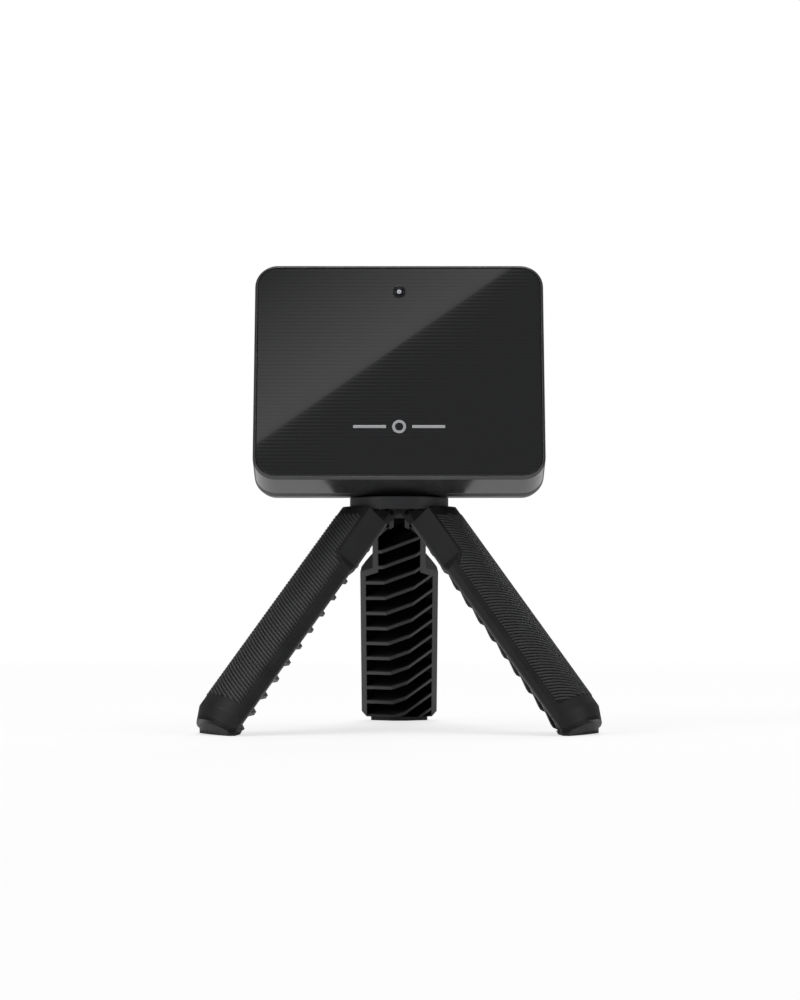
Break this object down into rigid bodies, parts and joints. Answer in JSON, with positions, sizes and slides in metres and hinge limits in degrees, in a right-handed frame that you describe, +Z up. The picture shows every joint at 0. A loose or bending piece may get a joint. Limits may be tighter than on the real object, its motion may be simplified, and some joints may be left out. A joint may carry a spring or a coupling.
{
  "type": "golf launch monitor",
  "caption": "Portable golf launch monitor with a glossy front window, leaning back on a folding tripod with ribbed plastic legs.",
  "frame": {"origin": "centre of the bounding box on the ground plane", "axes": "+Z up, -Y toward the front of the window, +X to the right seen from the front"},
  "size_m": [0.1212, 0.1088, 0.1433],
  "materials": {
    "window": "gloss",
    "mark": "satin",
    "housing": "satin",
    "leg": "matte",
    "foot": "matte",
    "pad": "matte",
    "steel": "satin",
    "brass": "satin",
    "lens": "gloss",
    "board": "satin",
    "copper": "satin",
    "cell": "satin",
    "foam": "matte",
    "light": "gloss",
    "label": "matte"
  },
  "bodies": {
    "stand": {"collar": "housing", "friction_pad": "pad", "mounting_stud": "steel", "leg_hub": "housing", "hub_screws": "steel", "hinge_washers_back": "label", "hinge_washers_left": "label", "hinge_washers_right": "label"},
    "monitor": {"front_window": "window", "aim_mark": "mark", "window_gasket": "foam", "lens_ring": "housing", "camera_lens": "lens", "camera_module": "housing", "camera_cable": "copper", "front_housing": "housing", "housing_seal": "foam", "rear_housing": "housing", "housing_screws": "steel", "tripod_insert": "brass", "antenna_board": "board", "patch_antennas": "copper", "radar_shield": "steel", "array_spacers": "brass", "array_screws": "steel", "main_board": "board", "processor_shield": "steel", "board_connector": "label", "board_posts": "brass", "board_screws": "steel", "battery": "cell", "battery_pad": "foam", "battery_plug": "label", "button_switch": "label", "button_seal": "foam", "status_led": "light", "light_pipe": "light", "usb_socket": "steel", "door_pin": "steel", "vent_membrane": "foam", "rating_label": "label"},
    "power_button": {"power_button": "housing"},
    "usb_door": {"usb_door": "housing"},
    "leg_back": {"leg_shell_back": "leg", "foot_pad_back": "foot", "hinge_pin_back": "steel"},
    "leg_left": {"leg_shell_left": "leg", "foot_pad_left": "foot", "hinge_pin_left": "steel"},
    "leg_right": {"leg_shell_right": "leg", "foot_pad_right": "foot", "hinge_pin_right": "steel"}
  },
  "joints": [
    {"name": "monitor_swivel", "type": "hinge", "parent": "stand", "child": "monitor", "pos_m": [0, -0.01306, 0.07165], "axis": [0, 0, 1], "range_deg": [-90, 90]},
    {"name": "power_press", "type": "slide", "parent": "monitor", "child": "power_button", "axis": [0, -0.9694, 0.2453], "range_m": [0, 0.00035], "stiffness_N_per_m": 900, "springref_m": -0.0008},
    {"name": "usb_door_hinge", "type": "hinge", "parent": "monitor", "child": "usb_door", "pos_m": [0.0165, -0.00351, 0.08574], "axis": [0, 0.2453, 0.9694], "range_deg": [0, 90]},
    {"name": "leg_back_fold", "type": "hinge", "parent": "stand", "child": "leg_back", "pos_m": [0, -0.00866, 0.0667], "axis": [-1, 0, 0], "range_deg": [0, 39.1]},
    {"name": "leg_left_fold", "type": "hinge", "parent": "stand", "child": "leg_left", "pos_m": [-0.00381, -0.01526, 0.0667], "axis": [0.5, -0.866, 0], "range_deg": [0, 39.1]},
    {"name": "leg_right_fold", "type": "hinge", "parent": "stand", "child": "leg_right", "pos_m": [0.00381, -0.01526, 0.0667], "axis": [0.5, 0.866, 0], "range_deg": [0, 39.1]}
  ]
}
